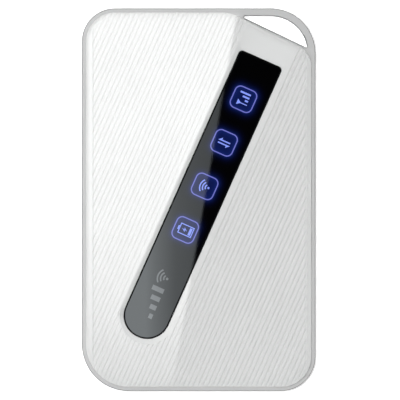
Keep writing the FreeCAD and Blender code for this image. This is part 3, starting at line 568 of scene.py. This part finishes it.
def window_material():
    """Black gloss window, lit from behind in a soft glow round each status icon."""
    nodes = Nodes("black_window")
    shader = nodes.shader
    shader.inputs["Base Color"].default_value = (0.0008, 0.0008, 0.001, 1)
    shader.inputs["IOR"].default_value = 1.5
    smear = nodes.noise(120, 2)
    rough = nodes.spread(smear, "Fac", 0.004, 0.01)
    nodes.join(rough, "Result", shader, "Roughness")
    dust = nodes.noise(3000, 2)
    nodes.bump(dust, "Fac", 0.004, 0.00002)
    place = nodes.add("ShaderNodeTexCoord")
    split = nodes.add("ShaderNodeSeparateXYZ")
    nodes.join(place, "Object", split, "Vector")
    x, y = (split, "X"), (split, "Y")
    cos, sin = math.cos(LEAN), math.sin(LEAN)
    across = nodes.math("SUBTRACT", nodes.math("MULTIPLY", x, cos / MM), nodes.math("MULTIPLY", y, sin / MM))
    along = nodes.math("ADD", nodes.math("MULTIPLY", x, sin / MM), nodes.math("MULTIPLY", y, cos / MM))
    glow = None
    for i in range(4):
        middle = ICON_FIRST - i * ICON_PITCH
        flat = ICON_HALF - ICON_CORNER
        dx = nodes.math("MAXIMUM", nodes.math("SUBTRACT", nodes.math("ABSOLUTE", across), flat), 0.0)
        dy = nodes.math(
            "MAXIMUM",
            nodes.math("SUBTRACT", nodes.math("ABSOLUTE", nodes.math("SUBTRACT", along, middle)), flat),
            0.0,
        )
        length = nodes.math(
            "SQRT", nodes.math("ADD", nodes.math("MULTIPLY", dx, dx), nodes.math("MULTIPLY", dy, dy))
        )
        off = nodes.math("SUBTRACT", length, ICON_CORNER)
        past, short = nodes.math("MAXIMUM", off, 0.0), nodes.math("MINIMUM", off, 0.0)
        outside = nodes.math("POWER", math.e, nodes.math("MULTIPLY", past, -GLOW_OUT))
        inside = nodes.math("POWER", math.e, nodes.math("MULTIPLY", short, GLOW_IN))
        rim = nodes.math("MULTIPLY", nodes.math("MULTIPLY", outside, inside), 1 - ICON_FILL)
        fill = nodes.math("MULTIPLY", nodes.math("LESS_THAN", off, 0.0), ICON_FILL)
        fade = nodes.math("ADD", rim, fill)
        glow = fade if glow is None else nodes.math("ADD", glow, fade)
    shader.inputs["Emission Color"].default_value = (0.008, 0.02, 0.16, 1)
    nodes.tree.links.new(glow[0].outputs[0], shader.inputs["Emission Strength"])
    return nodes.material


def lit(name, colour, strength):
    """A printed mark that lets the light through."""
    nodes = Nodes(name)
    shader = nodes.shader
    shader.inputs["Base Color"].default_value = (0.001, 0.001, 0.002, 1)
    shader.inputs["Roughness"].default_value = 0.008
    shader.inputs["Emission Color"].default_value = colour + (1,)
    grain = nodes.noise(900, 2)
    power = nodes.spread(grain, "Fac", strength * 0.94, strength * 1.06)
    nodes.join(power, "Result", shader, "Emission Strength")
    return nodes.material


WHITE = moulded("white_cover", (0.70, 0.705, 0.70), 0.34, grain=1400, relief=0.03, vary=0.01, wear=0.02)
GREY = moulded("grey_frame", (0.53, 0.53, 0.53), 0.42, grain=1400, relief=0.05, vary=0.015, wear=0.02)
# painted shade: the grey frame's upright sides get a darker colour, standing in for the shading along its
# rounded outer edge
painted_side_shade(GREY, (0.26, 0.26, 0.26), 0.8, 0.999)
STEEL = brushed("sheet_steel", (0.62, 0.62, 0.63), 0.32)
GOLD = brushed("gold_plate", (0.85, 0.62, 0.25), 0.25)
COPPER = brushed("copper_foil", (0.75, 0.42, 0.22), 0.35)
BLACK = moulded("black_nylon", (0.02, 0.02, 0.022), 0.5, wear=0.0)
CHIP = moulded("moulded_package", (0.025, 0.025, 0.028), 0.55, grain=2500, relief=0.15)
TAN = moulded("ceramic", (0.42, 0.33, 0.22), 0.5)
RUBBER = moulded("soft_black", (0.004, 0.004, 0.004), 0.6, wear=0.0)
MILKY = moulded("milky_plastic", (0.75, 0.76, 0.76), 0.45)
LAMP = moulded("lamp_lens", (0.8, 0.75, 0.5), 0.2)
PADDING = moulded("thermal_pad", (0.3, 0.33, 0.38), 0.8)
CARD = moulded("card_plastic", (0.7, 0.73, 0.78), 0.35)
CELL = brushed("cell_can", (0.55, 0.55, 0.57), 0.4)
WRAP = moulded("sleeve_film", (0.05, 0.05, 0.055), 0.3)
RUBBER.node_tree.nodes["Principled BSDF"].inputs["Specular IOR Level"].default_value = 0.15
BOARD = board_material()
WINDOW = window_material()

NODE_MATERIALS = (
    (GREY, ("middle_frame", "power_button", "power_stem", "wps_button", "wps_stem", "reset_stem")),
    (WHITE, ("back_cover",)),
    (WINDOW, ("display_window",)),
    (RUBBER, ("window_adhesive",)),
    (MILKY, ("icon_film", "light_guide")),
    (LAMP, ("status_leds",)),
    (BOARD, ("main_board",)),
    (PADDING, ("thermal_pad",)),
    (TAN, ("board_capacitors",)),
    (CARD, ("sim_card",)),
    (CELL, ("battery_pack",)),
    (WRAP, ("battery_wrap",)),
    (STEEL, ("modem_shield", "rf_shield", "wifi_shield", "usb_shell", "sim_socket")),
    (STEEL, ("housing_screws", "board_screws")),
    (CHIP, ("modem_chip", "memory_chip", "rf_chip", "wifi_chip")),
    (CHIP, ("power_manager", "power_amplifiers", "power_inductors")),
    (BLACK, ("usb_tongue", "power_switch", "wps_switch", "reset_switch", "battery_connector")),
    (GOLD, ("usb_contacts", "sim_contacts", "battery_contacts", "battery_springs", "antenna_springs")),
    (COPPER, ("main_antenna", "diversity_antenna", "wifi_antenna")),
)


def paint(thing, material):
    thing.data.materials.clear()
    thing.data.materials.append(material)


for material, parts in NODE_MATERIALS:
    for part in parts:
        paint(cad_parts[part], material)


# ---------------------------------------------------------------- window border and icons


def stroke(points, width, closed=False):
    """The outline of a line of constant width through points, with square ends."""
    points = [np.array(p, float) for p in points]
    count = len(points)
    left, right = [], []
    for i, here in enumerate(points):
        before = points[i - 1] if closed or i else None
        after = points[(i + 1) % count] if closed or i < count - 1 else None
        ways = []
        if before is not None:
            ways.append((here - before) / np.linalg.norm(here - before))
        if after is not None:
            ways.append((after - here) / np.linalg.norm(after - here))
        way = sum(ways)
        way /= np.linalg.norm(way)
        normal = np.array([-way[1], way[0]])
        first = np.array([-ways[0][1], ways[0][0]])
        reach = width / 2 / max(0.4, normal @ first)
        left.append(here + normal * reach)
        right.append(here - normal * reach)
    if closed:
        return left, right
    return left + right[::-1], None


def arc(centre, radius, start, end, count=12):
    """Points round an arc, angles in degrees from the +u direction towards +v."""
    found = []
    for k in range(count + 1):
        angle = math.radians(start + (end - start) * k / count)
        found.append((centre[0] + radius * math.sin(angle), centre[1] + radius * math.cos(angle)))
    return found


def area_of(loop):
    a = np.array(loop)
    b = np.roll(a, -1, axis=0)
    return float((a[:, 0] * b[:, 1] - b[:, 0] * a[:, 1]).sum()) / 2


def icon_piece(name, shapes, material, low=0.0, high=0.035):
    """One piece made of flat shapes on the window, each (outline, hole or None) in (v, u)."""
    made = []
    for i, (outer, hole) in enumerate(shapes):
        loop = [leaning(*p) for p in outer]
        inner = [leaning(*p) for p in hole] if hole else None
        if inner and abs(area_of(inner)) > abs(area_of(loop)):
            loop, inner = inner, loop
        made.append(plate(f"{name}_{i}", loop, WINDOW_TOP + low, WINDOW_TOP + high, inner))
    joined = made[0]
    if len(made) > 1:
        with bpy.context.temp_override(active_object=made[0], selected_editable_objects=made, object=made[0]):
            bpy.ops.object.join()
    joined.name = name
    joined.data.name = name
    paint(joined, material)
    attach(joined, BODY)
    return joined


def rectangle(v0, v1, u0, u1):
    return [(v0, u0), (v1, u0), (v1, u1), (v0, u1)]


def rounded_square(middle, half, corner):
    """A rounded square on the window's axis, as points in (v, u)."""
    flat = half - corner
    points = []
    for v, u, start in ((flat, flat, 0), (flat, -flat, 90), (-flat, -flat, 180), (-flat, flat, 270)):
        points += arc((v, middle + u), corner, start, start + 90, 8)
    return points


def signal_glyph(u):
    """An aerial with three rising bars."""
    bars = [
        (rectangle(-1.55, 1.4, u + 1.4, u + 1.9), None),
        (rectangle(-0.5, 1.4, u + 0.45, u + 0.95), None),
        (rectangle(0.5, 1.4, u - 0.45, u + 0.05), None),
    ]
    mast = (rectangle(-1.3, 1.5, u - 1.3, u - 1.05), None)
    head = ([(-1.35, u - 1.95), (-0.2, u - 1.17), (-1.35, u - 0.4)], None)
    return bars + [mast, head]


def data_glyph(u):
    """Two arrows that point opposite ways, each with one barb."""
    shafts = [
        (rectangle(-1.5, 1.6, u + 0.25, u + 0.6), None),
        (rectangle(-1.6, 1.5, u - 0.6, u - 0.25), None),
    ]
    barbs = [
        ([(-1.8, u + 0.25), (-0.75, u + 0.25), (-0.75, u + 1.15)], None),
        ([(1.8, u - 0.25), (0.75, u - 0.25), (0.75, u - 1.15)], None),
    ]
    return shafts + barbs


def wave_shapes(v, u, radii, width, dot=0.3):
    """A dot with arcs on its -v side."""
    shapes = [(arc((v, u), dot, 0, 345, 22), None)]
    return shapes + [stroke(arc((v, u), r, -134, -46, 14), width) for r in radii]


def wave_glyph(u):
    return wave_shapes(1.1, u, (0.85, 1.6, 2.35), 0.34)


def battery_glyph(u):
    """A battery outline with its terminal, one filled cell and a small bolt."""
    case = stroke(rectangle(-1.6, 2.05, u - 1.3, u + 1.3), 0.26, closed=True)
    terminal = (rectangle(-2.1, -1.75, u - 0.55, u + 0.55), None)
    charge = (rectangle(1.05, 1.75, u - 1.0, u + 1.0), None)
    upper = [(-1.0, u + 0.2), (0.05, u - 0.6), (-0.1, u - 0.05)]
    lower = [(0.6, u - 0.2), (-0.4, u + 0.6), (-0.25, u + 0.05)]
    bolt = (upper + lower, None)
    return [case, terminal, charge, bolt]


def icons():
    frame_light = lit("icon_frame_light", (0.165, 0.18, 0.60), 1.0)
    glyph_light = lit("icon_glyph_light", (0.25, 0.34, 1.0), 1.0)
    glyphs = (
        ("signal", signal_glyph),
        ("data", data_glyph),
        ("wave", wave_glyph),
        ("battery", battery_glyph),
    )
    for i, (name, glyph) in enumerate(glyphs):
        middle = ICON_FIRST - i * ICON_PITCH
        outer = rounded_square(middle, ICON_HALF, ICON_CORNER)
        inner = rounded_square(middle, ICON_HALF - ICON_LINE, ICON_CORNER - ICON_LINE)
        icon_piece(f"icon_frame_{name}", [(outer, inner)], frame_light)
        icon_piece(f"icon_{name}", glyph(middle), glyph_light)


def status_mark():
    """A plain printed mark: rising level bars beside a set of waves."""
    ink = lit("printed_mark", (0.5, 0.53, 0.55), 0.26)
    shapes = []
    for i in range(4):
        low = MARK_LOW + i * MARK_PITCH
        shapes.append((rectangle(1.45 - 0.75 * (i + 1.4), 1.45, low, low + 1.3), None))
    shapes += wave_shapes(0.9, MARK_WAVES, (0.9, 1.75, 2.6), 0.4, 0.36)
    icon_piece("printed_mark", shapes, ink)


def window_border():
    """The matt black edge printed round the window."""
    ring = plate(
        "window_border",
        window_outline(0).loop(0, step=3),
        WINDOW_TOP - 0.05,
        WINDOW_TOP + 0.02,
        window_outline(-0.38).loop(0, step=3),
    )
    paint(ring, RUBBER)
    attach(ring, BODY)


# ---------------------------------------------------------------- stage


FRAME_WIDTH = 106.62 * MM
LENS, SENSOR = 1200.0, 36.0
AIM = (0.345 * MM, -0.084 * MM)
CAMERA_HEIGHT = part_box("middle_frame")[1].z - 1.1 * MM + FRAME_WIDTH * LENS / SENSOR
SHEEN_LINE = ((6.7, 29.8), (-1.7, -18.4))  # where the light card's edge is mirrored in the window
CARD_HEIGHT = 2.2
LAMP_PLACE, LAMP_RADIUS = (-0.4, 0.18, 3.0), 0.00003
MASK_HEIGHT, MASK_THICK, MASK_REACH = 2800.0, 0.5, 400  # in millimetres
MASK_GROW = {"bottom": -0.3, "top": 0.15, "left": 0.45}  # how far the lit part passes the cover
FLOOR_GLOW, FLOOR_LEVEL = 0.5, -0.02 * MM
SKY_LOW, SKY_HIGH, SKY_LEAN = 0.3, 0.22, 0.7
LAMP_POWER, LAMP_CONE, LAMP_AIM = 150.0, 3.7, (-0.01, 0.035, 0)
TOP_PLACE, TOP_POWER = (-0.06, 0.03, 1.9), 108.0
CARD_POWER = 5.0
CARD_LEVELS = ((-60, 1.2), (-22, 4.6), (-14.2, 4.6), (-11.8, 3.7), (-6.25, 2.2), (-0.3, 1.75), (12, 1.2))
KEY_PLACE, KEY_SIZE, KEY_POWER = (-0.74, 0.58, 0.36), 0.3, 0.5
FILL_PLACE, FILL_SIZE, FILL_POWER = (0.9, -0.3, 0.25), 0.4, 0.5


def half_plane(name, first, second, height, reach, depth):
    """A level plane on one side of the line through two points."""
    way = (Vector(second) - Vector(first)).normalized()
    outward = Vector((way.y, -way.x))
    a, b = Vector(first) - way * reach, Vector(second) + way * reach
    corners = [a, b, b + outward * depth, a + outward * depth]
    mesh = bpy.data.meshes.new(name)
    mesh.from_pydata([(c.x, c.y, height) for c in corners], [], [(0, 1, 2, 3)])
    return link(name, mesh)


def area_light(name, place, size, power):
    data = bpy.data.lights.new(name, "AREA")
    data.size = size
    data.energy = power
    made = bpy.data.objects.new(name, data)
    made.location = place
    made.rotation_euler = Vector(place).to_track_quat("Z", "Y").to_euler()
    made.visible_camera = False
    bpy.context.scene.collection.objects.link(made)


def floor():
    side = 3.0
    mesh = bpy.data.meshes.new("floor")
    corners = [(-side, -side), (side, -side), (side, side), (-side, side)]
    mesh.from_pydata([(x, y, FLOOR_LEVEL) for x, y in corners], [], [(0, 1, 2, 3)])
    made = link("floor", mesh)
    nodes = Nodes("pale_floor")
    grain = nodes.noise(8, 2)
    base = nodes.ramp(grain, "Fac", 0.3, 0.7, (0.88, 0.88, 0.88, 1), (0.92, 0.92, 0.92, 1))
    nodes.join(base, "Color", nodes.shader, "Base Color")
    nodes.shader.inputs["Roughness"].default_value = 0.8
    nodes.shader.inputs["Emission Color"].default_value = (1, 1, 1, 1)
    nodes.shader.inputs["Emission Strength"].default_value = FLOOR_GLOW
    paint(made, nodes.material)


def mirrored(x, y):
    """Where a place on the window, in millimetres, mirrors to at the light card's height, in metres."""
    level = WINDOW_TOP * MM
    scale = 1 + (CARD_HEIGHT - level) / (CAMERA_HEIGHT - level)
    return (AIM[0] + (x * MM - AIM[0]) * scale, AIM[1] + (y * MM - AIM[1]) * scale)


def light_card(thing):
    """Lights a card, weakly at its inner edge and more strongly further to the left."""
    nodes = Nodes(thing.name)
    nodes.tree.nodes.remove(nodes.shader)
    emission = nodes.add("ShaderNodeEmission")
    place = nodes.add("ShaderNodeTexCoord")
    split = nodes.add("ShaderNodeSeparateXYZ")
    nodes.join(place, "Object", split, "Vector")
    first, last = mirrored(CARD_LEVELS[0][0], 0)[0], mirrored(CARD_LEVELS[-1][0], 0)[0]
    along = nodes.add("ShaderNodeMapRange")
    along.inputs["From Min"].default_value = first
    along.inputs["From Max"].default_value = last
    nodes.join(split, "X", along, "Value")
    ramp = nodes.add("ShaderNodeValToRGB")
    stops = ramp.color_ramp.elements
    for i, (x, level) in enumerate(CARD_LEVELS):
        at = (mirrored(x, 0)[0] - first) / (last - first)
        stop = stops[i] if i < 2 else stops.new(at)
        stop.position = at
        stop.color = tuple(level / CARD_POWER * c for c in (0.93, 1.0, 1.03)) + (1,)
    nodes.join(along, "Result", ramp, "Fac")
    nodes.join(ramp, "Color", emission, "Color")
    emission.inputs["Strength"].default_value = CARD_POWER
    nodes.join(emission, "Emission", nodes.output, "Surface")
    paint(thing, nodes.material)
    thing.visible_camera = False
    thing.visible_shadow = False


def lamp(name, kind, place, power, radius, aim=(0, 0, 0)):
    """A round lamp that isn't itself seen, nor mirrored in the window."""
    data = bpy.data.lights.new(name, kind)
    data.energy = power
    data.shadow_soft_size = radius
    made = bpy.data.objects.new(name, data)
    made.location = place
    made.rotation_euler = (Vector(place) - Vector(aim)).to_track_quat("Z", "Y").to_euler()
    made.visible_camera = False
    made.visible_glossy = False
    bpy.context.scene.collection.objects.link(made)
    return data


def masked_lamp():
    """A small spot overhead, with a mask that keeps its light on the cover, left of the sheen line."""
    data = lamp("cover_spot", "SPOT", LAMP_PLACE, LAMP_POWER, LAMP_RADIUS, LAMP_AIM)
    data.spot_size = math.radians(LAMP_CONE)
    data.spot_blend = 1.0

    (x1, y1), (x2, y2) = SHEEN_LINE
    angle = math.atan2(x2 - x1, y1 - y2)
    distance = x1 * math.cos(angle) + y1 * math.sin(angle)
    lit_part = Outline(
        [
            (-math.pi / 2, HALF_HEIGHT + MASK_GROW["bottom"]),
            (angle, distance),
            (math.pi / 2, HALF_HEIGHT + MASK_GROW["top"]),
            (math.pi, HALF_WIDTH + MASK_GROW["left"]),
        ],
        (0.1, 0.1, COVER_RADII[3], COVER_RADII[4]),
    ).loop(0)
    start = [c / MM for c in LAMP_PLACE]
    share = (start[2] - MASK_HEIGHT) / (start[2] - TOP)

    def shrunk(points):
        return [(start[0] + (x - start[0]) * share, start[1] + (y - start[1]) * share) for x, y in points]

    reach = MASK_REACH
    outside = shrunk([(-reach, -reach), (reach, -reach), (reach, reach), (-reach, reach)])
    mask = plate("spot_mask", outside, MASK_HEIGHT, MASK_HEIGHT + MASK_THICK, shrunk(lit_part))
    bevel = [  # the channel's left bevel, which the spot leaves dark
        leaning(CHANNEL_LEFT, WINDOW_LOW + 3),
        leaning(-WINDOW_HALF - 0.3, WINDOW_LOW + 3),
        leaning(-WINDOW_HALF - 0.3, WINDOW_HIGH + 8),
        leaning(CHANNEL_LEFT, WINDOW_HIGH + 8),
    ]
    flag = plate("bevel_mask", shrunk(bevel), MASK_HEIGHT, MASK_HEIGHT + MASK_THICK)
    nodes = Nodes("black_card")
    nodes.shader.inputs["Base Color"].default_value = (0.01, 0.01, 0.01, 1)
    for card in (mask, flag):
        paint(card, nodes.material)
        card.visible_camera = False
        card.visible_glossy = False
        card.visible_diffuse = False


def sky():
    """A studio that is pale round the sides and dark overhead."""
    world = bpy.data.worlds.new("studio")
    bpy.context.scene.world = world
    world.use_nodes = True
    tree = world.node_tree
    tree.nodes.clear()
    output = tree.nodes.new("ShaderNodeOutputWorld")
    background = tree.nodes.new("ShaderNodeBackground")
    place = tree.nodes.new("ShaderNodeTexCoord")
    split = tree.nodes.new("ShaderNodeSeparateXYZ")
    ramp = tree.nodes.new("ShaderNodeValToRGB")
    stops = ramp.color_ramp.elements
    stops[0].position, stops[0].color = 0.0, (*[SKY_LOW] * 3, 1)
    stops[1].position, stops[1].color = 0.35, (*[SKY_HIGH] * 3, 1)
    for at, level in ((0.8, SKY_HIGH), (0.93, 0.0)):
        stop = stops.new(at)
        stop.color = (level, level, level, 1)
    tree.links.new(place.outputs["Generated"], split.inputs[0])
    tree.links.new(split.outputs["Z"], ramp.inputs["Fac"])
    leftwards = tree.nodes.new("ShaderNodeMath")
    leftwards.operation = "MULTIPLY_ADD"
    tree.links.new(split.outputs["X"], leftwards.inputs[0])
    leftwards.inputs[1].default_value = -SKY_LEAN
    leftwards.inputs[2].default_value = 1.0
    tree.links.new(leftwards.outputs[0], background.inputs["Strength"])
    tree.links.new(ramp.outputs["Color"], background.inputs["Color"])
    tree.links.new(background.outputs[0], output.inputs[0])


def stage():
    floor()
    sky()
    edge = [mirrored(*p) for p in SHEEN_LINE]
    side_card = half_plane("side_card", edge[0], edge[1], CARD_HEIGHT, 0.5, 0.6)
    light_card(side_card)
    area_light("key", KEY_PLACE, KEY_SIZE, KEY_POWER)
    area_light("fill", FILL_PLACE, FILL_SIZE, FILL_POWER)
    lamp("top", "POINT", TOP_PLACE, TOP_POWER, 0.06)
    masked_lamp()


def camera():
    data = bpy.data.cameras.new("camera")
    data.lens = LENS
    data.sensor_width = SENSOR
    data.clip_end = 20
    made = bpy.data.objects.new("camera", data)
    made.location = (*AIM, CAMERA_HEIGHT)
    bpy.context.scene.collection.objects.link(made)
    bpy.context.scene.camera = made


camera()
shell = front_cover()
paint(shell, WHITE)
window_border()
icons()
status_mark()
stage()
bpy.context.scene.view_settings.view_transform = "Standard"
bpy.context.scene.view_settings.look = "None"
